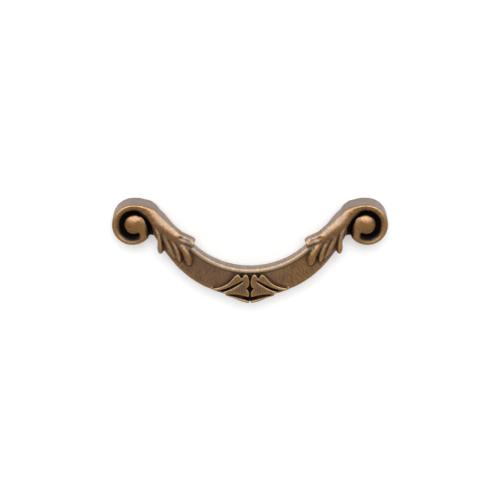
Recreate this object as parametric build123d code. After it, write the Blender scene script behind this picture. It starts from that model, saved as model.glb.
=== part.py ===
"""A fixed drop pull for a drawer or cabinet door, cast in one piece.

The pull hangs between two rolled volutes, which stand off the drawer front and take its two screws.
Seen from the front, X runs along the pull and Z is up. The drawer front is the plane Y = 0, and the
pull stands out of it towards -Y: that distance is called the reach of a point. The origin lies midway
between the two screw holes, on the drawer front. The carving is made for the +X half and mirrored.
"""

from build123d import *
import math
import os

# Fixing
hole_spacing = 96.0
screw_hole_diameter = 3.3
screw_hole_depth = 9.0

# Volutes
volute_diameter = 17.1
volute_reach = 16.5
rim_rounding = 1.2
eye_diameter = 8.0
eye_rise = 1.7
eye_stand = 0.4
scroll_groove_width = 2.2
scroll_groove_depth = 5.5
groove_lip = 1.4
groove_lip_depth = 1.0

# Bar
drop = 30.2
bar_height = 12.2
bar_thickness = 9.0
bar_reach = 19.0
bar_edge_rounding = 1.2
bar_back_rounding = 2.4
bar_flat = 18.0
foot_relief = 3.0
neck_end = 6.0
neck_length = 16.0
neck_step = 0.8
bead_width = 1.9
bead_rounding = 1.7
panel_depth = 0.7

# Carving
leaf_rise = 1.5
ridge_depth = 7.0
tongue_depth = 5.0
tip_depth = 3.5
dish_depth = 0.8
petal_rise = 1.0
petal_gap = 0.6
petal_groove_width = 1.1
petal_groove_depth = 1.6
low_petal_depth = 8.0
keel_width = 2.4
keel_depth = 5.0

# How far a cutter stands clear of the metal
clearance = 5.0

volute_x = hole_spacing / 2
volute_radius = volute_diameter / 2
eye_radius = eye_diameter / 2
bar_back = bar_reach - bar_thickness
petal_reach = bar_reach + petal_rise


def spot(place, reach):
    """The point over a place (x, z) of the front view that stands that far out of the drawer front."""
    return Vector(place[0], -reach, place[1])


def from_volute(inward, z):
    """A place measured from the screw's axis towards the middle of the pull."""
    return volute_x - inward, z


def from_low_point(x, rise):
    """A place measured from the lowest point of the bar."""
    return x, rise - drop


def face_reach(place):
    """How far the front face stands out: it rises evenly along the neck, from the volute to the bar."""
    share = (volute_x - place[0] - neck_end) / neck_length
    return volute_reach + (bar_reach - volute_reach) * min(max(share, 0), 1)


def front_extrude(outline, back, front):
    """Extrudes a closed front-view outline from one reach to another."""
    return extrude(Plane.XZ.offset(back) * make_face(outline), front - back)


def carved(stations):
    """A tapering rounded form along a line of the front view, lofted through elliptical sections.

    Each station is a place, the reach of the crest there, the half width and the depth of the section.
    """
    sections = []
    last = len(stations) - 1
    for i, (place, crest, half_width, depth) in enumerate(stations):
        before = stations[max(i - 1, 0)][0]
        after = stations[min(i + 1, last)][0]
        along = Vector(after[0] - before[0], 0, after[1] - before[1]).normalized()
        plane = Plane(spot(place, crest - depth / 2), x_dir=(along.Z, 0, -along.X), z_dir=along)
        sections.append(plane * Ellipse(half_width, depth / 2))
    return loft(sections)


def leaf_form(stations):
    """A carved form of the leaf: its crest rises over the front face by a share of the leaf's rise."""
    raised = []
    for place, rise, half_width, depth in stations:
        raised.append((place, face_reach(place) + rise * leaf_rise, half_width, depth))
    return carved(raised)


class BarEdge:
    """An edge of the bar in the front view: an arc about the middle plane, through a joining place."""

    def __init__(self, low_z, joint):
        sag = joint[1] - low_z
        self.radius = (joint[0] ** 2 + sag**2) / (2 * sag)
        self.centre_z = low_z + self.radius
        self.joint_angle = math.atan2(joint[0], self.centre_z - joint[1])
        self.joint_heading = (math.cos(self.joint_angle), math.sin(self.joint_angle))

    def place(self, share, inset=0.0):
        """The place at a share of the way from the middle to the joint, set in from the edge."""
        angle = share * self.joint_angle
        radius = self.radius + inset
        return radius * math.sin(angle), self.centre_z - radius * math.cos(angle)


upper_edge = BarEdge(bar_height - drop, from_volute(22.0, -6.1))
lower_edge = BarEdge(-drop, from_volute(14.5, -13.6))


def make_body():
    """The bar and the necks at its ends: what its front view and its plan have in common, edges rounded.

    The ends of the necks lie inside the heads.
    """
    end_top = from_volute(neck_end, 6.0)
    end_low = from_volute(neck_end, 0.0)
    upper_neck = [from_volute(16.2, -1.2), from_volute(11.2, 4.1)]
    lower_neck = [from_volute(9.4, -6.6)]
    front_sides = [
        Spline(upper_edge.place(1), *upper_neck, end_top, tangents=[upper_edge.joint_heading, (1, 0.1)]),
        Line(end_top, end_low),
        Spline(lower_edge.place(1), *lower_neck, end_low, tangents=[lower_edge.joint_heading, (0.35, 1)]),
    ]
    front_middle = [
        ThreePointArc(*[upper_edge.place(share) for share in (-1, 0, 1)]),
        ThreePointArc(*[lower_edge.place(share) for share in (-1, 0, 1)]),
    ]
    front_view = front_middle + front_sides + [mirror(line, Plane.YZ) for line in front_sides]
    bend_x = volute_x - 15
    end_x = volute_x - neck_end + 1
    face_end = (end_x, neck_step - volute_reach)
    back_end = (end_x, -foot_relief)
    face_bend = (bend_x, 1 - bar_reach)
    back_bend = (bend_x, 3 - bar_back)
    leaving = [(1, 0), (1, 0.3)]
    plan_sides = [
        Spline((bar_flat, -bar_reach), face_bend, face_end, tangents=leaving),
        Line(face_end, back_end),
        Spline((bar_flat, -bar_back), back_bend, back_end, tangents=leaving),
    ]
    plan_middle = [
        Line((-bar_flat, -bar_reach), (bar_flat, -bar_reach)),
        Line((-bar_flat, -bar_back), (bar_flat, -bar_back)),
    ]
    plan = plan_middle + plan_sides + [mirror(line, Plane.YZ) for line in plan_sides]
    upright = extrude(make_face(plan), 2 * drop, both=True)
    body = front_extrude(front_view, 0, 2 * bar_reach) & upright
    edges = body.edges()
    upper, lower = upper_edge.place(0), lower_edge.place(0)
    body = fillet(edges.sort_by_distance(spot(upper, bar_reach))[0], bead_rounding)
    body = fillet(body.edges().sort_by_distance(spot(lower, bar_reach))[0], bar_edge_rounding)
    edges = body.edges()
    back_edges = [edges.sort_by_distance(spot(place, bar_back))[0] for place in (upper, lower)]
    return fillet(back_edges, bar_back_rounding)


def make_panel():
    """The cutter that lowers the front of the bar under the bead along its upper edge."""
    crease = [upper_edge.place(share, bead_width) for share in (-1, 0, 1)]
    low = lower_edge.place(1, 6)
    outline = [
        ThreePointArc(*crease),
        Line(crease[2], low),
        Line(low, (low[0], -2 * drop)),
        Line((low[0], -2 * drop), (-low[0], -2 * drop)),
        Line((-low[0], -2 * drop), (-low[0], low[1])),
        Line((-low[0], low[1]), crease[0]),
    ]
    return front_extrude(outline, bar_reach - panel_depth, bar_reach + clearance)


def make_head():
    """The roll at the end of the pull and the root of the neck that runs into it. Its back is the foot."""
    r = volute_radius
    centre = from_volute(-0.85, -0.1)
    top = (centre[0], centre[1] + r)
    low = (centre[0], centre[1] - r)
    inner = (centre[0] - r * math.cos(math.radians(6)), centre[1] - r * math.sin(math.radians(6)))
    root = from_volute(11.6, 2.4)
    along_neck = [from_volute(9.2, 6.0), from_volute(6.0, 7.4), from_volute(2.8, 8.2)]
    outline = [
        ThreePointArc(top, (centre[0] + r, centre[1]), low),
        ThreePointArc(low, (centre[0] - r * math.sqrt(0.5), centre[1] - r * math.sqrt(0.5)), inner),
        Line(inner, root),
        Spline(root, *along_neck, top, tangents=[(0.6, 0.8), (1, 0)]),
    ]
    head = front_extrude(outline, 0, volute_reach)
    front_edges = head.edges().group_by(Axis.Y)[0].sort_by(Axis.X)
    head = fillet(front_edges[-2:], rim_rounding)
    heel = (centre[0] - r + 1, 0)
    hollow = (volute_x - 8.6, -foot_relief - 0.6)
    neck_back = (volute_x - 14, 2.4 - bar_back)
    cove = [
        Spline(heel, hollow, neck_back),
        Line(neck_back, (neck_back[0], 1)),
        Line((neck_back[0], 1), (heel[0], 1)),
        Line((heel[0], 1), heel),
    ]
    return head - extrude(make_face(cove), volute_diameter, both=True)


def make_web():
    """The web that closes the gap between the roll and the neck, at the bottom of the scroll's groove."""
    left = from_volute(9.8, -6.6)
    right = from_volute(4.0, -6.2)
    arch = Spline(left, from_volute(6.9, -5.3), right)
    top_right = (right[0], 0)
    top_left = (left[0], 0)
    outline = [arch, Line(right, top_right), Line(top_right, top_left), Line(top_left, left)]
    return front_extrude(outline, foot_relief, volute_reach - scroll_groove_depth)


def make_scroll_groove(widening, depth):
    """A cutter for the groove that winds from a fine tip under the eye round to the gap beside the roll."""
    wide = scroll_groove_width / 2
    route = [
        (from_volute(2.2, -3.8), 0.3),
        (from_volute(-0.4, -4.7), 0.7),
        (from_volute(-3.5, -3.8), 0.95),
        (from_volute(-5.2, -0.5), 1.0),
        (from_volute(-4.4, 2.8), 1.0),
        (from_volute(-2.0, 4.5), 0.9),
        (from_volute(0.8, 4.8), 0.9),
        (from_volute(3.6, 3.9), 1.0),
        (from_volute(5.6, 1.5), 1.0),
        (from_volute(6.4, -1.5), 1.0),
        (from_volute(7.0, -6.0), 0.8),
    ]
    stations = []
    for place, share in route:
        stations.append((place, volute_reach + depth, share * wide + widening, 2 * depth))
    return carved(stations)


def make_eye():
    """The eye of the scroll, a post with a domed end, and the cutter that sinks the shoulder round it."""
    floor = volute_reach + eye_stand - eye_rise
    root = volute_reach - scroll_groove_depth - 1
    top = floor + eye_rise
    centre = from_volute(0.1, 0)
    dome_radius = (eye_radius**2 + eye_rise**2) / (2 * eye_rise)
    ball = Pos(*spot(centre, top - dome_radius)) * Sphere(dome_radius)
    post = extrude(Plane.XZ.offset(root) * Pos(*centre) * Circle(eye_radius), top - root)
    beside = from_volute(-0.6, 0.6)
    shoulder = extrude(Plane.XZ.offset(floor) * Pos(*beside) * Circle(eye_radius + 0.2), clearance)
    return post & ball, shoulder


def make_screw_hole():
    """The blind threaded hole in the foot, at its drilled size, with the drill's point."""
    radius = screw_hole_diameter / 2
    bore = extrude(Plane.XZ.offset(-1) * Pos(volute_x, 0) * Circle(radius), screw_hole_depth + 1)
    point = Plane.XZ.offset(screw_hole_depth) * Pos(volute_x, 0) * Cone(
        radius, 0, 0.6 * radius, align=(Align.CENTER, Align.CENTER, Align.MIN)
    )
    return bore + point


def make_ridge():
    """The leaf's upper ridge: it leaves the volute's rim and ends in a spoon on top of the bar."""
    route = [
        (from_volute(-0.6, 7.0), -0.9, 0.7),
        (from_volute(2.9, 5.9), -0.2, 1.6),
        (from_volute(6.4, 3.9), 0.3, 2.5),
        (from_volute(9.8, 0.9), 0.65, 3.2),
        (from_volute(13.4, -2.2), 0.9, 3.4),
        (from_volute(17.0, -4.4), 1.0, 2.8),
        (from_volute(20.6, -5.7), 1.0, 2.1),
        (from_volute(24.6, -7.7), 0.9, 1.8),
    ]
    return leaf_form([(place, rise, half_width, ridge_depth) for place, rise, half_width in route])


def make_spoon_dish():
    """The cutter for the hollow in the spoon."""
    route = [
        (from_volute(18.6, -4.6), 0.6),
        (from_volute(20.8, -5.7), 1.4),
        (from_volute(23.6, -7.1), 1.3),
    ]
    cutter_depth = 4 * dish_depth
    stations = []
    for place, half_width in route:
        floor = face_reach(place) + leaf_rise - dish_depth
        stations.append((place, floor + cutter_depth, half_width, cutter_depth))
    return carved(stations)


def make_leaf():
    """The sheet of the leaf under its ridge, and the four tongues that run out of it over the bar's end."""
    sheet = [
        (from_volute(7.4, 1.6), 0.1, 1.4, tongue_depth),
        (from_volute(9.6, -0.6), 0.45, 2.3, tongue_depth),
        (from_volute(12.8, -3.0), 0.75, 2.8, tongue_depth),
        (from_volute(16.0, -5.0), 0.85, 2.6, tongue_depth),
        (from_volute(19.4, -6.6), 0.7, 1.4, tongue_depth),
    ]
    outer = [
        (from_volute(8.2, -0.4), 0.2, 0.8, tongue_depth),
        (from_volute(9.9, -3.6), 0.8, 1.1, tongue_depth),
        (from_volute(10.7, -7.2), 1.0, 1.15, tongue_depth),
        (from_volute(10.8, -10.4), 0.9, 1.3, tongue_depth),
        (from_volute(10.9, -11.9), 0.5, 0.7, tip_depth),
    ]
    second = [
        (from_volute(11.3, -2.0), 0.3, 1.0, tongue_depth),
        (from_volute(12.8, -5.6), 0.9, 1.4, tongue_depth),
        (from_volute(14.4, -9.0), 1.0, 1.4, tongue_depth),
        (from_volute(15.9, -11.6), 0.9, 1.1, tongue_depth),
        (from_volute(17.0, -13.5), 0.4, 0.5, tip_depth),
    ]
    third = [
        (from_volute(14.2, -4.0), 0.4, 1.0, tongue_depth),
        (from_volute(16.2, -7.6), 0.9, 1.25, tongue_depth),
        (from_volute(17.7, -10.6), 1.0, 1.35, tongue_depth),
        (from_volute(18.6, -13.4), 0.9, 1.3, tongue_depth),
        (from_volute(18.9, -15.0), 0.5, 0.6, tip_depth),
    ]
    inner = [
        (from_volute(16.6, -4.6), 0.4, 1.2, tongue_depth),
        (from_volute(19.1, -8.0), 0.9, 1.5, tongue_depth),
        (from_volute(21.2, -11.0), 1.0, 1.75, tongue_depth),
        (from_volute(22.5, -14.2), 0.9, 1.8, tongue_depth),
        (from_volute(22.9, -16.4), 0.5, 0.9, tip_depth),
    ]
    return [leaf_form(stations) for stations in (sheet, outer, second, third, inner)]


def make_petals():
    """The upper petals of one half of the palmette, on the middle of the bar, in one outline."""
    tip = from_low_point(16.6, 4.1)
    valley = from_low_point(3.5, 7.5)
    corner = from_low_point(1.8, 3.9)
    foot = from_low_point(petal_gap / 2 + 0.3, 0.3)
    hem = from_low_point(9.5, 1.5)
    upper_lobe = [from_low_point(12.5, 4.5), from_low_point(8.2, 6.9), from_low_point(5.2, 9.8)]
    inner_lobe = [from_low_point(1.4, 9.7), from_low_point(petal_gap / 2, 7.4)]
    outline = [
        Spline(tip, *upper_lobe, valley),
        Spline(valley, *inner_lobe, corner),
        Spline(corner, from_low_point(petal_gap / 2, 2.0), foot),
        Spline(foot, from_low_point(4.7, 1.3), hem),
        Spline(hem, from_low_point(13.5, 2.8), tip),
    ]
    return front_extrude(outline, bar_reach - bar_thickness / 2, petal_reach)


def make_low_petal():
    """The lowest petal, which wraps under the edge of the bar."""
    route = [
        (from_low_point(10.0, 0.9), 0.5),
        (from_low_point(6.6, 0.0), 0.8),
        (from_low_point(3.4, -1.1), 1.1),
        (from_low_point(0.3, -2.0), 0.9),
    ]
    crest = bar_reach + 0.3 * petal_rise
    return carved([(place, crest, half_width, low_petal_depth) for place, half_width in route])


def make_petal_groove():
    """The cutter between the upper and the middle petal, from a fine tip out to the bar's lower edge."""
    wide = petal_groove_width / 2
    route = [
        (from_low_point(2.1, 7.7), 0.3),
        (from_low_point(3.9, 6.5), 0.7),
        (from_low_point(5.8, 5.4), 0.9),
        (from_low_point(8.7, 3.9), 1.0),
        (from_low_point(11.5, 3.0), 1.0),
        (from_low_point(15.0, 2.5), 1.0),
    ]
    crest = petal_reach + petal_groove_depth
    return carved([(place, crest, share * wide, 2 * petal_groove_depth) for place, share in route])


def make_keel():
    """The rib under the middle of the bar, which joins the lowest petals behind the slit between them."""
    crest = bar_reach - petal_groove_depth
    places = [from_low_point(-3.0, -0.4), from_low_point(0, -0.9), from_low_point(3.0, -0.4)]
    return carved([(place, crest, keel_width / 2, keel_depth) for place in places])


def both(form):
    """A form of the +X half and its mirror image."""
    return [form, mirror(form, Plane.YZ)]


def make_pull():
    eye, eye_shoulder = make_eye()
    pull = make_body() + both(make_head() + make_web())
    pull -= make_panel()
    pull -= both(make_scroll_groove(0, scroll_groove_depth))
    pull -= both(make_scroll_groove(groove_lip, groove_lip_depth))
    pull -= both(eye_shoulder) + both(make_screw_hole())
    pull += both(eye)
    pull += both(make_ridge() - make_spoon_dish())
    for form in make_leaf():
        pull += both(form)
    pull += both(make_petals() - make_petal_groove())
    pull += make_keel()
    pull += both(make_low_petal())
    return pull


os.makedirs("parts", exist_ok=True)
pull_casting = make_pull()
export_step(pull_casting, "parts/pull_casting.step")
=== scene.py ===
# %% [markdown]
# # A scrolled drop pull in antique brass
#
# The pull is one casting: a drooping bar that ends in two leaves and two rolled volutes. A foundry pours
# it, tumbles it so that every edge goes soft, stains it dark brown and then brushes the high places
# bright again. This lesson takes the exact CAD solid and gives it those three things: soft edges, a stain
# that stays in the hollows, and brush marks that follow the form.
#
# ## The CAD frame
# Modelling the pull again by hand would never match it, so every form here starts from that mesh.

# %% The CAD frame
import math

import bmesh
import bpy
import numpy as np
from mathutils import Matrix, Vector
from mathutils.bvhtree import BVHTree


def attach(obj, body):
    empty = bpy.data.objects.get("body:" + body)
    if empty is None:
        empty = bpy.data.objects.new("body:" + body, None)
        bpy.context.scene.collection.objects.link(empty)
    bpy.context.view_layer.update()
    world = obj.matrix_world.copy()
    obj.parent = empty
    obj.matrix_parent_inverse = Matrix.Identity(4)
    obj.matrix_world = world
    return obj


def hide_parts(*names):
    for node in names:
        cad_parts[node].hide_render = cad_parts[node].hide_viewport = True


MM = 0.001
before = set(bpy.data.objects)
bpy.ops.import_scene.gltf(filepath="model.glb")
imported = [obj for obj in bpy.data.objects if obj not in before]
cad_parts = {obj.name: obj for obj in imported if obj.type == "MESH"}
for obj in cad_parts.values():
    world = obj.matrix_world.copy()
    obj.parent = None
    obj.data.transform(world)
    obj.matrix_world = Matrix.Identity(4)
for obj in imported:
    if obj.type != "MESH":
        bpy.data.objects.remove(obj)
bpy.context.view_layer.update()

# %% [markdown]
# The pull is screwed on from behind, through the drawer front. The two holes lie on the axes of the
# volutes, so their place is also the middle of each scroll. The sizes are the solid's own. Blender counts
# in metres.

# %% Screw holes
HOLE_X = 48.0 * MM
HOLE_DEPTH = 9.0 * MM
THREAD_MINOR = 1.65 * MM
THREAD_MAJOR = 2.0 * MM
print("screw holes:", 2 * HOLE_X / MM, "mm apart")

# %% [markdown]
# Meshes are handled as arrays here: one row of three numbers for each vertex. Smoothing moves each vertex
# towards the mean of its neighbours. The Smooth modifier does that too, but the lesson also smooths plain
# numbers and weighs vertices one by one. A step in, followed by a smaller step out, rounds the edges off
# and shrinks the whole casting less.

# %% Array helpers


def points_of(mesh):
    """The vertices of a mesh as an array with a row for each."""
    flat = np.empty(len(mesh.vertices) * 3, np.float32)
    mesh.vertices.foreach_get("co", flat)
    return flat.reshape(-1, 3).astype(float)


def normals_of(mesh):
    """The vertex normals of a mesh as an array with a row for each."""
    flat = np.empty(len(mesh.vertices) * 3, np.float32)
    mesh.vertex_normals.foreach_get("vector", flat)
    return flat.reshape(-1, 3).astype(float)


def edges_of(mesh):
    """The vertex pairs of the edges of a mesh."""
    flat = np.empty(len(mesh.edges) * 2, np.int32)
    mesh.edges.foreach_get("vertices", flat)
    return flat.reshape(-1, 2)


def neighbour_mean(values, edges):
    """For each vertex, the mean of a value over its neighbours."""
    count = np.bincount(edges.ravel(), minlength=len(values))
    columns = []
    for column in values.reshape(len(values), -1).T:
        total = np.bincount(edges[:, 0], column[edges[:, 1]], len(values))
        total += np.bincount(edges[:, 1], column[edges[:, 0]], len(values))
        columns.append(total / np.maximum(count, 1))
    return np.stack(columns, axis=1).reshape(values.shape)


def smoothed(values, edges, rounds, step_in=0.5, step_out=0.0):
    """The values after that many rounds of smoothing."""
    for _ in range(rounds):
        values = values + step_in * (neighbour_mean(values, edges) - values)
        if step_out:
            values = values - step_out * (neighbour_mean(values, edges) - values)
    return values


# %% [markdown]
# ## The casting
# The CAD mesh has long thin triangles and knife edges, which can't be softened evenly. A voxel remesh
# lays an even net over it, fine enough to hold the leaf's grooves. The walls of the screw holes are first
# pushed out to the bottom of the thread, because the thread is added later as its own piece.

# %% Even net over the solid
VOXEL = 0.28 * MM
MERGE_DISTANCE = 0.001 * MM
WALL_TOLERANCE = 0.02 * MM
DEPTH_TOLERANCE = 0.01 * MM


def applied(obj):
    """The object's mesh with its modifiers worked in."""
    bpy.context.view_layer.update()
    evaluated = obj.evaluated_get(bpy.context.evaluated_depsgraph_get())
    mesh = bpy.data.meshes.new_from_object(evaluated)
    obj.modifiers.clear()
    return mesh


def widened_holes(points):
    """Moves the walls of the drilled holes out to the bottom of the thread."""
    moved = points.copy()
    x = points[:, 0] - np.sign(points[:, 0]) * HOLE_X
    radius = np.hypot(x, points[:, 2])
    wall = np.abs(radius - THREAD_MINOR) < WALL_TOLERANCE
    wall &= points[:, 1] > -HOLE_DEPTH - DEPTH_TOLERANCE
    stretch = THREAD_MAJOR / THREAD_MINOR - 1
    moved[wall, 0] += x[wall] * stretch
    moved[wall, 2] += points[wall, 2] * stretch
    return moved


net = bmesh.new()
net.from_mesh(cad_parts["pull_casting"].data)
bmesh.ops.remove_doubles(net, verts=net.verts, dist=MERGE_DISTANCE)
casting_mesh = bpy.data.meshes.new("casting")
net.to_mesh(casting_mesh)
net.free()
casting_mesh.vertices.foreach_set("co", widened_holes(points_of(casting_mesh)).astype(np.float32).ravel())
casting = bpy.data.objects.new("casting", casting_mesh)
bpy.context.scene.collection.objects.link(casting)
remesh = casting.modifiers.new("even net", "REMESH")
remesh.mode = "VOXEL"
remesh.voxel_size = VOXEL
casting.data = applied(casting)
print("even net:", len(casting.data.vertices), "vertices")

# %% [markdown]
# Tumbling in grit rounds each edge a little. A Bevel modifier would need clean edges to work on, and a
# voxel net has none. A few rounds of smoothing give the same softness, and they take away the steps that
# the voxels leave.

# %% Tumbled edges
TUMBLE_ROUNDS = 3
TUMBLE_IN = 0.5
TUMBLE_OUT = 0.25

edges = edges_of(casting.data)
cast_points = points_of(casting.data)
points = smoothed(cast_points, edges, TUMBLE_ROUNDS, TUMBLE_IN, TUMBLE_OUT)
print("tumbling moves the surface by up to", (np.abs(points - cast_points).max() / MM).round(2), "mm")

# %% [markdown]
# Before it is stained, the casting is dressed by hand with small stones. To do that with numbers, a place
# on the casting is written as a share for each vertex: 1 in the place, 0 away from it, and a soft edge
# between. A pair such as `FRONT` holds a limit and the width of its soft edge. Sculpting brushes work
# with such shares too, but their strokes can't be written down as a few sizes.

# %% Places on the casting
FRONT = (-11.5 * MM, 1.0 * MM)


def inside(value, limit, width):
    """1 where a value is well below a limit, falling to 0 at the limit over a width."""
    return np.clip((limit - value) / width, 0, 1)


def beyond(value, limit, width):
    """0 up to a limit, rising to 1 over a width past it."""
    return np.clip((value - limit) / width, 0, 1)


def in_front(points):
    """1 on the front of the casting, 0 behind it."""
    return inside(points[:, 1], *FRONT)


def round_place(points, x, z, radius):
    """A round place on both halves: 1 in its middle half, falling to 0 at its edge."""
    distance = np.hypot(np.abs(points[:, 0]) - x, points[:, 2] - z)
    return np.clip(2 - 2 * distance / radius, 0, 1) * in_front(points)


def ring_place(points, inner, outer, width):
    """A ring about each volute's axis, fading over a width at both edges."""
    distance = np.hypot(np.abs(points[:, 0]) - HOLE_X, points[:, 2])
    share = np.minimum(distance - inner, outer - distance) / width
    return np.clip(share, 0, 1) * in_front(points)


print("vertices on the front:", int(in_front(points).sum()))

# %% [markdown]
# The stones melt the inner side of each rim into a slope, lead the rim into the ridge of the neck, join
# the eye to the end of the roll, and soften the spoon and the outer tip of the palmette. Smoothing does
# the same, if each vertex moves only by its share of the place. The ring on the rim has two radii and a
# soft edge. Each other place has its x and z, its radius and its rounds: more rounds stand for more work
# with the stone.

# %% Dressed places
DRESSING_STEP = 0.5
RIM_SLOPE = (5.2 * MM, 8.0 * MM, 0.6 * MM)
RIM_SLOPE_ROUNDS = 50
ROLL_END = (44.4 * MM, -2.8 * MM)
DRESSED_PLACES = {
    "rim into ridge": (39.5 * MM, 4.3 * MM, 5.0 * MM, 90),
    "end of the roll": (*ROLL_END, 3.0 * MM, 60),
    "eye into roll": (46.0 * MM, -0.8 * MM, 2.6 * MM, 60),
    "spoon": (26.8 * MM, -6.6 * MM, 4.5 * MM, 14),
    "palmette's tip": (16.9 * MM, -26.4 * MM, 1.6 * MM, 20),
}


def dressed(points, share, rounds):
    """The points after smoothing each by its share."""
    for _ in range(rounds):
        points = points + DRESSING_STEP * share[:, None] * (neighbour_mean(points, edges) - points)
    return points


points = dressed(points, ring_place(points, *RIM_SLOPE), RIM_SLOPE_ROUNDS)
for place, (x, z, radius, rounds) in DRESSED_PLACES.items():
    share = round_place(points, x, z, radius)
    points = dressed(points, share, rounds)
    print(place, "dressed at", np.count_nonzero(share), "vertices")

# %% [markdown]
# The ridge of each neck ends in a spoon that leans back, so that its dish looks up and catches the light.
# The lean moves points straight back, more the higher they lie above the spoon's lower rim. A gas bubble
# left one small pit in the left eye, which is a shallow bowl pushed into the surface.

# %% Spoons and pit
SPOON_X = 26.9 * MM
SPOON_Z = -6.4 * MM
SPOON_HALF = 1.5 * MM
SPOON_LEAN = 0.30
SPOON_LIMIT = 2.4 * SPOON_HALF
SPOON_LENGTH = (4.6 * MM, 2.8 * MM)
SPOON_TOP = (3.5 * MM, 1.3 * MM)
RIDGE_SIDE = 0.85
RIDGE_DOWN = 0.53
PIT_X = -50.1 * MM
PIT_Z = -1.0 * MM
PIT_RADIUS = 0.5 * MM
PIT_DEPTH = 0.45 * MM


def spoon_lean(points):
    """How far each point moves back, so that the spoons lean. Their lower rims stay."""
    x = np.abs(points[:, 0]) - SPOON_X
    z = points[:, 2] - SPOON_Z
    along = x * RIDGE_SIDE + z * RIDGE_DOWN
    up = z * RIDGE_SIDE - x * RIDGE_DOWN
    share = inside(np.abs(along), *SPOON_LENGTH) * inside(up, *SPOON_TOP)
    return SPOON_LEAN * np.clip(up + SPOON_HALF, 0, SPOON_LIMIT) * share * in_front(points)


lean = spoon_lean(points)
points[:, 1] += lean
pit = np.hypot(points[:, 0] - PIT_X, points[:, 2] - PIT_Z) / PIT_RADIUS
points[:, 1] += PIT_DEPTH * np.clip(1 - pit ** 2, 0, 1) * in_front(points)
print("the spoons lean back by up to", (lean.max() / MM).round(2), "mm")

# %% [markdown]
# The net now has more triangles than a part should have. Nobody looks closely at the back and the feet,
# so a vertex group holds them, and the Decimate modifier works only there. The front keeps all its
# vertices, since the finish is worked out at each of them.

# %% Thinned back
FACE_LIMIT = 195000
BACK_REACH = 8.0 * MM
BACK_FACING = 0.5


def triangle_count(mesh):
    """How many triangles the faces of a mesh come to."""
    return sum(len(face.vertices) - 2 for face in mesh.polygons)


casting.data.vertices.foreach_set("co", points.astype(np.float32).ravel())
casting.data.update()
behind = (points[:, 1] > -BACK_REACH) | (normals_of(casting.data)[:, 1] > BACK_FACING)
casting.vertex_groups.new(name="back").add(np.flatnonzero(behind).tolist(), 1.0, "REPLACE")
dense_count = triangle_count(casting.data)
thinner = casting.modifiers.new("thinner", "DECIMATE")
thinner.vertex_group = "back"
thinner.ratio = min(1.0, FACE_LIMIT / dense_count)
casting.data = applied(casting)
casting.vertex_groups.clear()
casting.data.shade_smooth()
print("casting:", dense_count, "triangles thinned to", triangle_count(casting.data))

# %% [markdown]
# ## What the finish needs to know about the form
# A stain stays where a brush can't reach: in grooves and under edges. To find those places, each vertex
# sends out a fan of short rays and counts how many get away. An Ambient Occlusion node does this while
# rendering, but a number kept on each vertex can be smoothed and corrected, and it goes along with the
# mesh.

# %% Rays that get away
RAY_LENGTH = 5.0 * MM
RAY_START = 0.1 * MM
RAY_COUNT = 16
UPRIGHT = 0.9


def fan(count):
    """Directions spread evenly over half a sphere about +Z, on a golden spiral."""
    turn = math.pi * (3 - math.sqrt(5))
    directions = []
    for i in range(count):
        rise = 1 - (i + 0.5) / count
        ring = math.sqrt(1 - rise * rise)
        directions.append((ring * math.cos(i * turn), ring * math.sin(i * turn), rise))
    return np.array(directions)


def openness(mesh):
    """For each vertex, the share of the fan's rays that get away."""
    starts = points_of(mesh)
    normals = normals_of(mesh)
    tree = BVHTree.FromPolygons([tuple(p) for p in starts], [tuple(p.vertices) for p in mesh.polygons])
    helper = np.where(np.abs(normals[:, 2:3]) < UPRIGHT, [[0.0, 0.0, 1.0]], [[1.0, 0.0, 0.0]])
    side = np.cross(normals, helper)
    side /= np.linalg.norm(side, axis=1, keepdims=True)
    other = np.cross(normals, side)
    away = np.zeros(len(starts))
    starts = starts + normals * RAY_START
    for a, b, c in fan(RAY_COUNT):
        directions = a * side + b * other + c * normals
        for i, (start, direction) in enumerate(zip(starts.tolist(), directions.tolist())):
            if tree.ray_cast(start, direction, RAY_LENGTH)[0] is None:
                away[i] += 1
    return away / RAY_COUNT


# %% [markdown]
# The brush reaches what stands proud. Each vertex is compared with a smoothed copy of the casting: on a
# ridge the copy lies deeper. A lightly smoothed copy gives `proud`, which finds edges and creases. A much
# smoother copy gives `swell`, which finds domes and rolls. `front` tells how far the surface faces
# forward. The Geometry node's Pointiness is much the same as `proud`, but it knows only one scale.

# %% Proud and hollow places
PROUD_ROUNDS = 12
PROUD_SETTLING = 2
SWELL_ROUNDS = 90
SWELL_SETTLING = 4
OPEN_SETTLING = 2
FRONT_SETTLING = 3


def set_attribute(mesh, name, values):
    """Stores one number for each vertex, for the material to read."""
    attribute = mesh.attributes.new(name, "FLOAT", "POINT")
    attribute.data.foreach_set("value", np.ascontiguousarray(values, np.float32))


def standing_out(rounds):
    """For each vertex, how far it stands out of a copy smoothed that often, in mm."""
    copy = smoothed(points, edges, rounds)
    return np.einsum("ij,ij->i", points - copy, normals) / MM


edges = edges_of(casting.data)
points = points_of(casting.data)
normals = normals_of(casting.data)
proud = smoothed(standing_out(PROUD_ROUNDS), edges, PROUD_SETTLING)
swell = smoothed(standing_out(SWELL_ROUNDS), edges, SWELL_SETTLING)
open_share = smoothed(openness(casting.data), edges, OPEN_SETTLING)
set_attribute(casting.data, "proud", proud)
set_attribute(casting.data, "front", smoothed(-normals[:, 1], edges, FRONT_SETTLING))
for name, values in (("proud", proud), ("swell", swell), ("open", open_share)):
    print(name, "percentiles 5, 50, 95:", np.percentile(values, (5, 50, 95)).round(3))

# %% [markdown]
# The finisher draws the brush across the bar and out from the eye of each scroll. A UV map records that:
# u runs along the form and v across it, both in millimetres. The bar is bent about a point above its
# middle, and its u is the length along that bend. Round a volute u is the length along the rim, and on
# the eye the marks lie at a slant. Unwrapping would cut the surface into islands, while this map flows
# from bar to rim.

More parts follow.
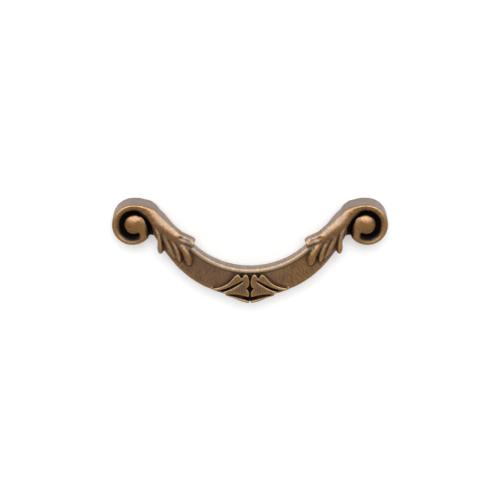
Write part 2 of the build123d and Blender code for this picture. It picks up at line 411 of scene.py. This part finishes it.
# %% Brush directions
BEND_CENTRE_Z = 14.5 * MM
BEND_RADIUS = 39.0 * MM
RIM_RADIUS = 6.0 * MM
RIM = (15.0 * MM, 6.0 * MM)
EYE = (4.6 * MM, 0.8 * MM)
SLANT = math.sqrt(0.5)

across = points[:, 0]
height = points[:, 2]
bend_angle = np.arctan2(across, BEND_CENTRE_Z - height)
bend_across = np.hypot(across, BEND_CENTRE_Z - height)
rim_x = np.abs(across) - HOLE_X
rim_across = np.hypot(rim_x, height)
on_rim = inside(rim_across, *RIM)
on_eye = inside(rim_across, *EYE)
along_bar = bend_angle * BEND_RADIUS
along_rim = np.sign(across) * (np.arctan2(height, rim_x) * RIM_RADIUS + HOLE_X)
u = along_bar + (along_rim - along_bar) * on_rim
v = bend_across + (rim_across - bend_across) * on_rim
u = u + ((across + height) * SLANT - u) * on_eye
v = v + ((across - height) * SLANT - v) * on_eye
loops = np.empty(len(casting.data.loops), np.int32)
casting.data.loops.foreach_get("vertex_index", loops)
layer = casting.data.uv_layers.new(name="brush")
layer.data.foreach_set("uv", np.stack([u[loops], v[loops]], axis=1).astype(np.float32).ravel() / MM)
print("brush map: u from", (u.min() / MM).round(1), "to", (u.max() / MM).round(1), "mm")

# %% [markdown]
# The brush doesn't press alike everywhere. It pressed harder on the right half of the bar and along its
# lower part, and it passed lightly over the palmette. A painted mask could hold that, but a formula needs
# no image.

# %% Brush pressure
PRESSURE = 0.55
HARDER_RIGHT = 0.40
RIGHT_END = 24.0 * MM
HARDER_LOW = 0.2
LOW_PART = (36.0 * MM, 6.0 * MM)
BAR = (30.0 * MM, 3.0 * MM)
PETAL_FACE = (-19.4 * MM, 0.3 * MM)
PETAL_SPAN = (19.0 * MM, 1.0 * MM)
LIGHTER_PETALS = 0.35

on_bar = inside(np.abs(across), *BAR)
on_petals = inside(points[:, 1], *PETAL_FACE) * inside(np.abs(across), *PETAL_SPAN)
harder = HARDER_RIGHT * np.clip(across / RIGHT_END, -1, 1) + HARDER_LOW * beyond(bend_across, *LOW_PART)
pressure = PRESSURE + harder * on_bar - LIGHTER_PETALS * on_petals
set_attribute(casting.data, "pressure", pressure)
print("brush pressure from", pressure.min().round(2), "to", pressure.max().round(2))

# %% [markdown]
# A cloth then rubs the proud places: most on the volutes, less on the petals, and hardly at all on the
# bead and the low edge of the bar. `touch` holds that. The bead and the crest of each neck, where it
# looks up, get a painted highlight in pale beige, and a second mask marks those places for it.

# %% Rubbed places and painted highlight
BEAD = (35.6 * MM, 0.4 * MM)
LOW_EDGE = (43.0 * MM, 0.5 * MM)
BEHIND_PETALS = (-19.6 * MM, 0.3 * MM)
VOLUTE = (11.0 * MM, 2.0 * MM)
NECK = (42.0 * MM, 5.0 * MM)
CREST_UP = (0.25, 0.4)
CREST_FORWARD = (0.2, 0.5)
LESS_ON_EDGES = 0.8
MORE_ON_VOLUTES = 0.7
LESS_ON_PETALS = 0.35
BEAD_SHEEN = 0.8
SHEEN_SETTLING = 3

on_bead = inside(bend_across, *BEAD) * on_bar
on_low_edge = beyond(bend_across, *LOW_EDGE) * beyond(points[:, 1], *BEHIND_PETALS) * on_bar
touch = 1 - LESS_ON_EDGES * np.maximum(on_bead, on_low_edge)
touch *= 1 + MORE_ON_VOLUTES * inside(rim_across, *VOLUTE)
touch *= 1 - LESS_ON_PETALS * on_petals
set_attribute(casting.data, "touch", touch)
# Painted highlight: pale beige on the bead and on the crest of each neck, where it looks up.
on_crest = beyond(normals[:, 2], *CREST_UP) * inside(normals[:, 1], *CREST_FORWARD)
on_neck = inside(np.abs(across), *NECK) * (1 - on_bar) * in_front(points)
painted_sheen = np.maximum(BEAD_SHEEN * on_bead * in_front(points), on_crest * on_neck)
set_attribute(casting.data, "painted_sheen", smoothed(painted_sheen, edges, SHEEN_SETTLING))
print("handled:", np.count_nonzero(painted_sheen), "vertices")

# %% [markdown]
# Inside each rim the slope is made less open than the rays say, so that it comes out darker. Below the
# axis, where the slope looks up at the overhead light, it is made darker still: that is painted shade.
# The eye runs into its roll, and there the smoothed copy finds no dome, so the eye gets a least value of
# `swell`.

# %% Dark slopes and bright eyes
GROOVE = (4.3 * MM, 0.4 * MM)
INNER_SLOPE = (7.2 * MM, 1.2 * MM)
LOW_SLOPE = (8.4 * MM, 1.2 * MM)
ROLL_END_RADIUS = 3.6 * MM
LOOKING_UP = (0.0, 0.4)
BELOW_AXIS = (0.0, 3.0 * MM)
INNER_SHADE = 0.35
LOW_SHADE = 0.45
EYE_SWELL = 0.19

past_groove = beyond(rim_across, *GROOVE)
inner_slope = inside(rim_across, *INNER_SLOPE) * past_groove
inner_slope *= 1 - round_place(points, *ROLL_END, ROLL_END_RADIUS)
# Painted shade: below the axis, the inner slope that looks up is made less open, so it renders darker.
low_slope = inside(rim_across, *LOW_SLOPE) * past_groove * in_front(points)
low_slope *= beyond(normals[:, 2], *LOOKING_UP) * inside(height, *BELOW_AXIS)
open_with_painted_shade = open_share * (1 - INNER_SHADE * inner_slope) * (1 - LOW_SHADE * low_slope)
set_attribute(casting.data, "open", open_with_painted_shade)
set_attribute(casting.data, "swell", np.maximum(swell, EYE_SWELL * on_eye * in_front(points)))
print("mean openness:", open_share.mean().round(3), "before and", open_with_painted_shade.mean().round(3), "after")

# %% [markdown]
# ## Antique brass
# The finish is worked out in node groups that put out only colours and values, so that the shader stays
# in the material. A few helpers keep the trees short: one makes an empty group, and the others add a
# node, feed it and return its result.

# %% Node helpers


def new_group(name, inputs, outputs):
    """An empty shader node group with named sockets, and its input and output nodes."""
    group = bpy.data.node_groups.new(name, "ShaderNodeTree")
    for label, kind in inputs:
        group.interface.new_socket(label, in_out="INPUT", socket_type=kind)
    for label, kind in outputs:
        group.interface.new_socket(label, in_out="OUTPUT", socket_type=kind)
    return group, group.nodes.new("NodeGroupInput"), group.nodes.new("NodeGroupOutput")


def placed_group(tree, group):
    """A node that holds a group."""
    node = tree.nodes.new("ShaderNodeGroup")
    node.node_tree = group
    return node


def math_node(tree, operation, a, b):
    """A Math node fed by sockets or plain numbers."""
    node = tree.nodes.new("ShaderNodeMath")
    node.operation = operation
    for socket, value in zip(node.inputs, (a, b)):
        if isinstance(value, (int, float)):
            socket.default_value = value
        else:
            tree.links.new(value, socket)
    return node.outputs[0]


def product(tree, *factors):
    """All factors multiplied, each a socket or a plain number."""
    result = factors[0]
    for factor in factors[1:]:
        result = math_node(tree, "MULTIPLY", result, factor)
    return result


def straight_line(tree, value, start, slope):
    """A start plus a slope times the value."""
    return math_node(tree, "ADD", math_node(tree, "MULTIPLY", value, slope), start)


def ramp_node(tree, value, low, high, to_low=0.0, to_high=1.0):
    """A Map Range node with smooth ends."""
    node = tree.nodes.new("ShaderNodeMapRange")
    node.interpolation_type = "SMOOTHSTEP"
    for socket, number in zip(node.inputs[1:5], (low, high, to_low, to_high)):
        socket.default_value = number
    tree.links.new(value, node.inputs[0])
    return node.outputs[0]


def mix_colour(tree, share, a, b):
    """A colour mix between sockets or plain colours."""
    node = tree.nodes.new("ShaderNodeMix")
    node.data_type = "RGBA"
    tree.links.new(share, node.inputs["Factor"])
    for socket, value in ((node.inputs[6], a), (node.inputs[7], b)):
        if isinstance(value, tuple):
            socket.default_value = (*value, 1.0)
        else:
            tree.links.new(value, socket)
    return node.outputs[2]


# %% [markdown]
# A wire brush leaves fine hairlines, and the hand that leads it leaves broader strokes. Both are noise
# that is squeezed along u and stretched along v, so that it turns into streaks across the form. Its
# scales are per millimetre of u and v. A wave texture would make the streaks too even.

# %% Brush marks
MARKS = {
    "Hairlines": {"along": 3.6, "across": 0.32, "detail": 3.0},
    "Strokes": {"along": 0.8, "across": 0.12, "detail": 2.0},
}
MARK_ROUGHNESS = 0.6


def brush_group():
    """Streaks across the form: fine hairlines and broader strokes, from 0 to 1."""
    group, entry, leave = new_group(
        "Brush marks",
        [("Place", "NodeSocketVector")],
        [(label, "NodeSocketFloat") for label in MARKS],
    )
    for label, mark in MARKS.items():
        scale = group.nodes.new("ShaderNodeVectorMath")
        scale.operation = "MULTIPLY"
        scale.inputs[1].default_value = (mark["along"], mark["across"], 1.0)
        group.links.new(entry.outputs["Place"], scale.inputs[0])
        noise = group.nodes.new("ShaderNodeTexNoise")
        noise.inputs["Scale"].default_value = 1.0
        noise.inputs["Detail"].default_value = mark["detail"]
        noise.inputs["Roughness"].default_value = MARK_ROUGHNESS
        group.links.new(scale.outputs[0], noise.inputs["Vector"])
        group.links.new(noise.outputs["Fac"], leave.inputs[label])
    return group


brush_marks = brush_group()
print("brush marks:", ", ".join(MARKS))

# %% [markdown]
# No stain dries quite even, and no cut metal stays quite clean. Both the stained casting and the cut
# threads show soft clouds, so these are a group of their own, which each material uses with its own
# scale.

# %% Clouds


def cloud_group():
    """Soft clouds over the piece, from 0 to 1."""
    group, entry, leave = new_group(
        "Clouds",
        [("Place", "NodeSocketVector"), ("Scale", "NodeSocketFloat"), ("Detail", "NodeSocketFloat")],
        [("Clouds", "NodeSocketFloat")],
    )
    noise = group.nodes.new("ShaderNodeTexNoise")
    group.links.new(entry.outputs["Place"], noise.inputs["Vector"])
    for label in ("Scale", "Detail"):
        group.links.new(entry.outputs[label], noise.inputs[label])
    group.links.new(noise.outputs["Fac"], leave.inputs["Clouds"])
    return group


def clouds(tree, scale, detail):
    """The clouds' value in a material, laid out in the piece's own coordinates."""
    spot = tree.nodes.new("ShaderNodeTexCoord")
    node = placed_group(tree, cloud_nodes)
    tree.links.new(spot.outputs["Object"], node.inputs["Place"])
    node.inputs["Scale"].default_value = scale
    node.inputs["Detail"].default_value = detail
    return node.outputs["Clouds"]


cloud_nodes = cloud_group()
print("clouds:", len(cloud_nodes.nodes), "nodes")

# %% [markdown]
# The finish reads what is known about the form and turns it into masks. Each mask names the number that
# it reads, where it starts and where it is full, and two masks also name their least and greatest value.
# The brush marks lie all over the front. The rubbed places are edges and domes that face forward. Where
# the hairlines are weak, even the rubbed brass keeps fine scratches.

# %% Masks and brightness
FORM_ATTRIBUTES = ("Proud", "Swell", "Open", "Front", "Pressure", "Touch", "Painted_sheen")
MASKS = {
    "edge": ("Proud", 0.04, 0.14),
    "sharp edge": ("Proud", 0.06, 0.15),
    "crease": ("Proud", -0.012, -0.07),
    "dome": ("Swell", 0.06, 0.36),
    "deep": ("Open", 0.80, 0.28),
    "reach": ("Open", 0.45, 0.90),
    "facing": ("Front", 0.45, 0.93),
    "fewer on sides": ("Front", 0.0, 0.8, 0.12, 1.0),
    "streak": ("Hairlines", 0.40, 0.64),
    "scratches": ("Hairlines", 0.40, 0.57, 0.38, 1.12),
    "stroke": ("Strokes", 0.40, 0.65),
    "cloud": ("Clouds", 0.35, 0.65),
}
MARK_STRENGTH = 0.8
STROKE_BASE = 1.1
STROKE_GAIN = 0.5
RUB_STRENGTH = 0.85


def brightness(group, given, mask):
    """How far the stain is brushed and rubbed off."""
    stroke = straight_line(group, mask["stroke"], STROKE_BASE, STROKE_GAIN)
    marks = product(group, mask["streak"], stroke, MARK_STRENGTH, given["Pressure"], mask["fewer on sides"])
    proud_places = math_node(group, "MAXIMUM", mask["edge"], mask["dome"])
    rub = product(group, proud_places, RUB_STRENGTH, mask["facing"], given["Touch"])
    bright = product(group, math_node(group, "ADD", rub, marks), mask["reach"])
    return product(group, math_node(group, "MINIMUM", bright, 1.0), mask["scratches"])


print("masks:", len(MASKS))

# %% [markdown]
# Now the colours are laid one over the other. Brown stain with clouds in it comes first, then brass where
# it is brushed. Painted highlights follow: pale beige on the bead and on the up-looking crest of each
# neck, and a pale painted gleam on sharp edges that face forward. Last come the dark stain in creases and
# the black in grooves. Mixing in this order keeps the grooves black whatever lies below.

# %% Stain, rubbed brass and painted highlights
STAIN_BLACK = (0.012, 0.008, 0.006)
STAIN_DARK = (0.042, 0.022, 0.013)
STAIN_UMBER = (0.130, 0.072, 0.043)
STAIN_BROWN = (0.175, 0.098, 0.056)
RUBBED_BRASS = (0.42, 0.205, 0.05)
# The last two colours are painted highlights: a gleam for sharp edges, beige for the bead and neck crests.
PAINTED_EDGE_HIGHLIGHT = (0.70, 0.44, 0.17)
SHEEN_BEIGE = (0.40, 0.30, 0.205)
SHEEN_BASE = 0.3
SHEEN_GAIN = 0.4
EDGE_HIGHLIGHT_SHARE = 0.62
CREASE_STAIN = 0.5


def layered_colour(group, given, mask, bright):
    """Stain, brass and painted highlights in beige and on edges, with dark creases and black grooves."""
    brown = mix_colour(group, mask["cloud"], STAIN_UMBER, STAIN_BROWN)
    brushed = mix_colour(group, bright, brown, RUBBED_BRASS)
    # Painted highlights: beige on the bead and neck crests, then a pale gleam on sharp edges.
    sheen_share = product(group, straight_line(group, mask["streak"], SHEEN_BASE, SHEEN_GAIN), given["Painted_sheen"])
    with_sheen = mix_colour(group, sheen_share, brushed, SHEEN_BEIGE)
    edge_highlight = product(group, mask["sharp edge"], EDGE_HIGHLIGHT_SHARE, mask["facing"], mask["reach"])
    highlighted = mix_colour(group, edge_highlight, with_sheen, PAINTED_EDGE_HIGHLIGHT)
    creased = mix_colour(group, product(group, mask["crease"], CREASE_STAIN), highlighted, STAIN_DARK)
    return mix_colour(group, mask["deep"], creased, STAIN_BLACK)


print("colours from", STAIN_BLACK, "to", PAINTED_EDGE_HIGHLIGHT)

# %% [markdown]
# Stain is dull and brass is shiny, so the same masks also give the roughness and the share of bare metal.
# A thin lacquer lies over all of it, but it doesn't shine in the hollows. Colour and values leave the
# group side by side, ready for the shader's sockets.

# %% Finish group
ROUGH_BASE = 0.36
ROUGH_GAIN = 0.25
METAL_BASE = 0.35
METAL_GAIN = 0.25
LACQUER = 0.6


def finish_group():
    """The colour, roughness, metal and lacquer of stained brass that was brushed on its proud places."""
    readings = (*FORM_ATTRIBUTES, *MARKS, "Clouds")
    values = ("Roughness", "Metal", "Lacquer")
    group, entry, leave = new_group(
        "Rubbed stain",
        [(label, "NodeSocketFloat") for label in readings],
        [("Colour", "NodeSocketColor")] + [(label, "NodeSocketFloat") for label in values],
    )
    given = entry.outputs
    mask = {name: ramp_node(group, given[label], *limits) for name, (label, *limits) in MASKS.items()}
    bright = brightness(group, given, mask)
    hollow = math_node(group, "MAXIMUM", mask["deep"], mask["crease"])
    results = {
        "Colour": layered_colour(group, given, mask, bright),
        "Roughness": straight_line(group, hollow, ROUGH_BASE, ROUGH_GAIN),
        "Metal": straight_line(group, bright, METAL_BASE, METAL_GAIN),
        "Lacquer": product(group, math_node(group, "SUBTRACT", 1.0, hollow), LACQUER),
    }
    for label, result in results.items():
        group.links.new(result, leave.inputs[label])
    return group


finish_nodes = finish_group()
print("finish group:", len(finish_nodes.nodes), "nodes")

# %% [markdown]
# The material joins it all: attributes and brush map go in, the finish feeds the Principled shader, and
# the hairlines also feed a very shallow bump. The lacquer is the shader's coat. The casting then takes
# the place of its CAD node.

# %% Brass material
STAIN_CLOUD_SCALE = 420.0
STAIN_CLOUD_DETAIL = 4.0
HAIRLINE_STRENGTH = 0.5
HAIRLINE_DEPTH = 0.05 * MM
SPECULAR_TINT = (0.62, 0.54, 0.46, 1.0)
LACQUER_IOR = 1.9
LACQUER_ROUGHNESS = 0.24
FINISH_SOCKETS = {
    "Colour": "Base Color",
    "Roughness": "Roughness",
    "Metal": "Metallic",
    "Lacquer": "Coat Weight",
}


def brass_material():
    """Stained and brushed brass under a thin lacquer."""
    material = bpy.data.materials.new("antique brass")
    material.use_nodes = True
    tree = material.node_tree
    shader = tree.nodes["Principled BSDF"]
    place = tree.nodes.new("ShaderNodeUVMap")
    place.uv_map = "brush"
    marks = placed_group(tree, brush_marks)
    tree.links.new(place.outputs[0], marks.inputs["Place"])
    finish = placed_group(tree, finish_nodes)
    for label in FORM_ATTRIBUTES:
        attribute = tree.nodes.new("ShaderNodeAttribute")
        attribute.attribute_name = label.lower()
        tree.links.new(attribute.outputs["Fac"], finish.inputs[label])
    for label in MARKS:
        tree.links.new(marks.outputs[label], finish.inputs[label])
    tree.links.new(clouds(tree, STAIN_CLOUD_SCALE, STAIN_CLOUD_DETAIL), finish.inputs["Clouds"])
    bump = tree.nodes.new("ShaderNodeBump")
    bump.inputs["Strength"].default_value = HAIRLINE_STRENGTH
    bump.inputs["Distance"].default_value = HAIRLINE_DEPTH
    tree.links.new(marks.outputs["Hairlines"], bump.inputs["Height"])
    tree.links.new(bump.outputs[0], shader.inputs["Normal"])
    for label, socket in FINISH_SOCKETS.items():
        tree.links.new(finish.outputs[label], shader.inputs[socket])
    shader.inputs["Specular IOR Level"].default_value = 0.0
    shader.inputs["Specular Tint"].default_value = SPECULAR_TINT
    shader.inputs["Coat IOR"].default_value = LACQUER_IOR
    shader.inputs["Coat Roughness"].default_value = LACQUER_ROUGHNESS
    return material


casting.data.materials.clear()
casting.data.materials.append(brass_material())
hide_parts("pull_casting")
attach(casting, "root")
print("casting: brass material with", len(casting.data.materials[0].node_tree.nodes), "nodes")

# %% [markdown]
# ## Screw threads
# The tap that cuts the threads comes after the stain, so they are bare brass with a little oil left on
# it. The oil darkens the metal in clouds and makes it smoother.

# %% Cut brass
OILED_BRASS = (0.27, 0.13, 0.035)
OIL_SCALE = 900.0
OIL_DETAIL = 2.0
OIL_EDGES = (0.35, 0.65)
DRY_ROUGHNESS = 0.38
OILED_ROUGHNESS = 0.22


def thread_material():
    """The bare brass that the tap leaves."""
    material = bpy.data.materials.new("cut brass")
    material.use_nodes = True
    tree = material.node_tree
    shader = tree.nodes["Principled BSDF"]
    oil = clouds(tree, OIL_SCALE, OIL_DETAIL)
    colour = mix_colour(tree, ramp_node(tree, oil, *OIL_EDGES), RUBBED_BRASS, OILED_BRASS)
    roughness = ramp_node(tree, oil, *OIL_EDGES, DRY_ROUGHNESS, OILED_ROUGHNESS)
    tree.links.new(colour, shader.inputs["Base Color"])
    tree.links.new(roughness, shader.inputs["Roughness"])
    shader.inputs["Metallic"].default_value = 1.0
    return material


thread_brass = thread_material()
print("thread material:", len(thread_brass.node_tree.nodes), "nodes")

# %% [markdown]
# A tap cuts a ridge that climbs the wall of the hole like a stair. A Screw modifier could turn a profile,
# but in Geometry Nodes the whole thread has named sizes: a spiral curve with a diamond swept along it.
# The outer half of the diamond stays in the metal, and the inner half is the ridge. A line of two points
# puts one thread in each foot.

# %% Thread nodes
SPIRAL_STEPS = 32
DIAMOND_CORNERS = 4
FIRST_RIDGE = 0.4 * MM
QUARTER_TURN = math.pi / 2


def fed_node(tree, kind, **inputs):
    """A node with its inputs linked or set, and its first output."""
    node = tree.nodes.new(kind)
    for label, value in inputs.items():
        socket = node.inputs[label.replace("_", " ")]
        if isinstance(value, bpy.types.NodeSocket):
            tree.links.new(value, socket)
        else:
            socket.default_value = value
    return node.outputs[0]


def ridge_nodes(tree, given):
    """One helical ridge along -Y, which is the way into the foot."""
    helix = fed_node(
        tree,
        "GeometryNodeCurveSpiral",
        Resolution=SPIRAL_STEPS,
        Rotations=given["Turns"],
        Start_Radius=given["Radius"],
        End_Radius=given["Radius"],
        Height=product(tree, given["Turns"], given["Pitch"]),
    )
    upright = tree.nodes.new("GeometryNodeSetCurveNormal")
    upright.mode = "Z_UP"
    tree.links.new(helix, upright.inputs["Curve"])
    diamond = fed_node(
        tree, "GeometryNodeCurvePrimitiveCircle", Resolution=DIAMOND_CORNERS, Radius=given["Ridge"]
    )
    ridge = fed_node(
        tree, "GeometryNodeCurveToMesh", Curve=upright.outputs[0], Profile_Curve=diamond, Fill_Caps=True
    )
    return fed_node(tree, "GeometryNodeTransform", Geometry=ridge, Rotation=(QUARTER_TURN, 0, 0))


def thread_nodes():
    """A Geometry Nodes tree that makes a helical ridge in each of the two holes."""
    tree = bpy.data.node_groups.new("Screw threads", "GeometryNodeTree")
    for label in ("Turns", "Pitch", "Radius", "Ridge", "Spacing"):
        tree.interface.new_socket(label, in_out="INPUT", socket_type="NodeSocketFloat")
    tree.interface.new_socket("Metal", in_out="INPUT", socket_type="NodeSocketMaterial")
    tree.interface.new_socket("Threads", in_out="OUTPUT", socket_type="NodeSocketGeometry")
    given = tree.nodes.new("NodeGroupInput").outputs
    left = fed_node(tree, "ShaderNodeCombineXYZ", X=product(tree, given["Spacing"], -0.5), Y=-FIRST_RIDGE)
    step = fed_node(tree, "ShaderNodeCombineXYZ", X=given["Spacing"])
    holes = fed_node(tree, "GeometryNodeMeshLine", Count=2, Start_Location=left, Offset=step)
    ridge = ridge_nodes(tree, given)
    both = fed_node(tree, "GeometryNodeInstanceOnPoints", Points=holes, Instance=ridge)
    real = fed_node(tree, "GeometryNodeRealizeInstances", Geometry=both)
    finished = fed_node(tree, "GeometryNodeSetMaterial", Geometry=real, Material=given["Metal"])
    tree.links.new(finished, tree.nodes.new("NodeGroupOutput").inputs["Threads"])
    return tree


# %% [markdown]
# The tree is put on an empty mesh, and each of its inputs is set by the socket's identifier. The result
# is then turned into a plain mesh, because an export knows nothing of modifiers.

# %% Threads
THREAD_TURNS = 12.0
THREAD_PITCH = 0.7 * MM
THREAD_SIZES = {
    "Turns": THREAD_TURNS,
    "Pitch": THREAD_PITCH,
    "Radius": THREAD_MAJOR,
    "Ridge": THREAD_MAJOR - THREAD_MINOR,
    "Spacing": 2 * HOLE_X,
    "Metal": thread_brass,
}

threads = bpy.data.objects.new("threads", bpy.data.meshes.new("threads"))
bpy.context.scene.collection.objects.link(threads)
modifier = threads.modifiers.new("threads", "NODES")
modifier.node_group = thread_nodes()
for item in modifier.node_group.interface.items_tree:
    if item.in_out == "INPUT":
        modifier[item.identifier] = THREAD_SIZES[item.name]
threads.data = applied(threads)
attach(threads, "root")
print("threads:", len(threads.data.polygons), "faces")

# %% [markdown]
# ## Stage
# The photograph shows the pull lying on a white sheet. The sheet is the mounting plane, so the feet touch
# it and their shadows start at the metal. Seen from behind it is clear, so that the feet can be looked
# at, and it lets the shortest rays through, so that it doesn't black out the feet that lie on it. To the
# camera it glows a little, which whitens it without more light on the brass.

# %% White sheet
SHEET_HALF = 1.2
SHEET_GAP = 0.05 * MM
SHEET_WHITE = (0.95, 0.95, 0.95, 1.0)
SHEET_ROUGHNESS = 0.9
GLOW = 0.16
CONTACT = 2.0 * MM


def sheet_material():
    """White card that is clear from behind and to rays that start close to it."""
    material = bpy.data.materials.new("white card")
    material.use_nodes = True
    tree = material.node_tree
    card = tree.nodes["Principled BSDF"]
    card.inputs["Base Color"].default_value = SHEET_WHITE
    card.inputs["Roughness"].default_value = SHEET_ROUGHNESS
    card.inputs["Specular IOR Level"].default_value = 0.0
    path = tree.nodes.new("ShaderNodeLightPath")
    glow = tree.nodes.new("ShaderNodeEmission")
    tree.links.new(product(tree, path.outputs["Is Camera Ray"], GLOW), glow.inputs["Strength"])
    lit = tree.nodes.new("ShaderNodeAddShader")
    tree.links.new(card.outputs[0], lit.inputs[0])
    tree.links.new(glow.outputs[0], lit.inputs[1])
    side = tree.nodes.new("ShaderNodeNewGeometry")
    touching = math_node(tree, "LESS_THAN", path.outputs["Ray Length"], CONTACT)
    clear = tree.nodes.new("ShaderNodeBsdfTransparent")
    seen = tree.nodes.new("ShaderNodeMixShader")
    tree.links.new(math_node(tree, "MAXIMUM", side.outputs["Backfacing"], touching), seen.inputs[0])
    tree.links.new(lit.outputs[0], seen.inputs[1])
    tree.links.new(clear.outputs[0], seen.inputs[2])
    tree.links.new(seen.outputs[0], tree.nodes["Material Output"].inputs["Surface"])
    return material


sheet_mesh = bpy.data.meshes.new("sheet")
corner_signs = ((-1, -1), (1, -1), (1, 1), (-1, 1))
sheet_corners = [(x * SHEET_HALF, 0, z * SHEET_HALF) for x, z in corner_signs]
sheet_mesh.from_pydata(sheet_corners, [], [(0, 1, 2, 3)])
sheet_mesh.materials.append(sheet_material())
sheet = bpy.data.objects.new("sheet", sheet_mesh)
sheet.location.y = SHEET_GAP
bpy.context.scene.collection.objects.link(sheet)
print("sheet:", 2 * SHEET_HALF, "m wide")

# %% [markdown]
# The light is a white tent. A sun with a wide disc adds a direction, so that the pull throws a soft
# shadow, and it is kept out of reflections. Metal shows what stands round it, so for reflections the tent
# is bright overhead and dim in front, where the camera stands. An area lamp would leave its outline in
# the brass.

# %% Light
TENT = 0.60
TENT_OVERHEAD = 4.2
TENT_IN_FRONT = 0.24
TENT_RISE = (0.05, 0.75)
SUN = 1.6
SUN_DISC = math.radians(28)
SUN_HEADING = Vector((0.0, 0.95, -0.32))


def tent_world():
    """White all round, with a gradient from dim in front to bright overhead for reflections."""
    world = bpy.data.worlds.new("tent")
    world.use_nodes = True
    tree = world.node_tree
    plain = tree.nodes["Background"]
    plain.inputs["Color"].default_value = (1, 1, 1, 1)
    plain.inputs["Strength"].default_value = TENT
    mirrored = tree.nodes.new("ShaderNodeBackground")
    direction = tree.nodes.new("ShaderNodeTexCoord")
    parts = tree.nodes.new("ShaderNodeSeparateXYZ")
    tree.links.new(direction.outputs["Generated"], parts.inputs[0])
    gradient = ramp_node(tree, parts.outputs["Z"], *TENT_RISE, TENT_IN_FRONT, TENT_OVERHEAD)
    tree.links.new(gradient, mirrored.inputs["Strength"])
    path = tree.nodes.new("ShaderNodeLightPath")
    mix = tree.nodes.new("ShaderNodeMixShader")
    tree.links.new(path.outputs["Is Glossy Ray"], mix.inputs[0])
    tree.links.new(plain.outputs[0], mix.inputs[1])
    tree.links.new(mirrored.outputs[0], mix.inputs[2])
    tree.links.new(mix.outputs[0], tree.nodes["World Output"].inputs["Surface"])
    return world


bpy.context.scene.world = tent_world()
sun = bpy.data.objects.new("sun", bpy.data.lights.new("sun", "SUN"))
sun.data.energy = SUN
sun.data.angle = SUN_DISC
sun.rotation_euler = SUN_HEADING.to_track_quat("-Z", "Y").to_euler()
sun.visible_glossy = False
bpy.context.scene.collection.objects.link(sun)
print("tent of strength", TENT, "and a sun of", SUN)

# %% [markdown]
# ## Camera
# The photograph looks at the pull a little from above, through a long lens: both volutes show their upper
# sides by the same small amount. A long lens is a camera far away with a narrow view, so the lens is
# worked out from the distance and the width that the picture takes in.

# %% Camera
ELEVATION = math.radians(12)
DISTANCE = 1.5
FRAME_WIDTH = 208.8 * MM
SENSOR_WIDTH = 36.0
AIM = Vector((0.0, -10.0 * MM, -11.9 * MM))

camera_data = bpy.data.cameras.new("camera")
camera_data.sensor_width = SENSOR_WIDTH
camera_data.lens = SENSOR_WIDTH * DISTANCE / FRAME_WIDTH
camera = bpy.data.objects.new("camera", camera_data)
back = Vector((0, -math.cos(ELEVATION), math.sin(ELEVATION)))
camera.location = AIM + DISTANCE * back
camera.rotation_euler = (-back).to_track_quat("-Z", "Y").to_euler()
bpy.context.scene.collection.objects.link(camera)
bpy.context.scene.camera = camera
bpy.context.scene.view_settings.view_transform = "Standard"
print("lens:", round(camera_data.lens), "mm")
